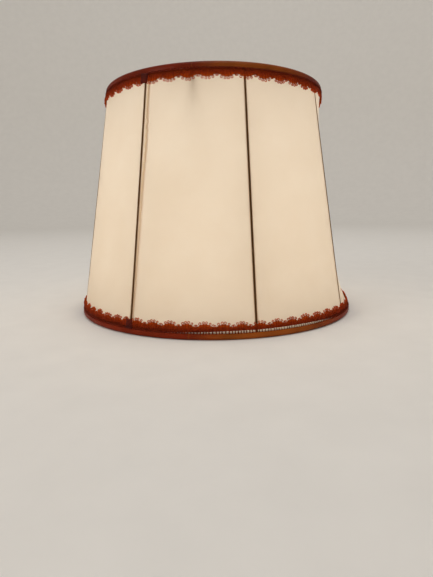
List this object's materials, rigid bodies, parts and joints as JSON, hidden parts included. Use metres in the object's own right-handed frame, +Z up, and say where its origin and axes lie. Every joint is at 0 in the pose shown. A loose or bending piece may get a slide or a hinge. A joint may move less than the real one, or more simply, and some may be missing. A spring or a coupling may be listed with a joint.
{
  "type": "lamp shade",
  "caption": "Tapered cloth lamp shade stretched over a wire frame, bound at both rims and edged with scalloped lace, with a recessed washer fitter that sits on a lamp holder.",
  "frame": {"origin": "centre of the shade's base: the point on its axis at the level its lower rim stands on", "axes": "+Z up along the shade's axis; the front cloth seam is 22.5 degrees from -Y towards -X"},
  "size_m": [0.3088, 0.3088, 0.239],
  "materials": {
    "frame_paint": "brown paint on steel wire, satin",
    "cotton_tape": "plain cotton tape, matte",
    "cover_cloth": "cream cloth, finely woven, lets light through",
    "binding": "dark red-brown tape with a sheen",
    "lace": "rust-brown crocheted edging, matte",
    "lace_join": "dark brown crocheted patch, matte"
  },
  "bodies": {
    "root": {"bottom_ring_wire": "frame_paint", "bottom_ring_tape": "cotton_tape", "bottom_binding": "binding", "bottom_lace": "lace", "bottom_lace_join": "lace_join", "top_ring_wire": "frame_paint", "top_ring_tape": "cotton_tape", "top_binding": "binding", "top_lace": "lace", "top_lace_join": "lace_join", "strut_1": "frame_paint", "strut_2": "frame_paint", "strut_3": "frame_paint", "strut_4": "frame_paint", "strut_5": "frame_paint", "strut_6": "frame_paint", "strut_7": "frame_paint", "strut_8": "frame_paint", "fitter_washer": "frame_paint", "fitter_arm_1": "frame_paint", "fitter_arm_2": "frame_paint", "fitter_arm_3": "frame_paint", "fitter_arm_4": "frame_paint", "cover_front_half": "cover_cloth", "front_seam_tape": "cotton_tape", "front_seam_lap": "cover_cloth", "cover_back_half": "cover_cloth", "back_seam_tape": "cotton_tape", "back_seam_lap": "cover_cloth"}
  },
  "joints": []
}
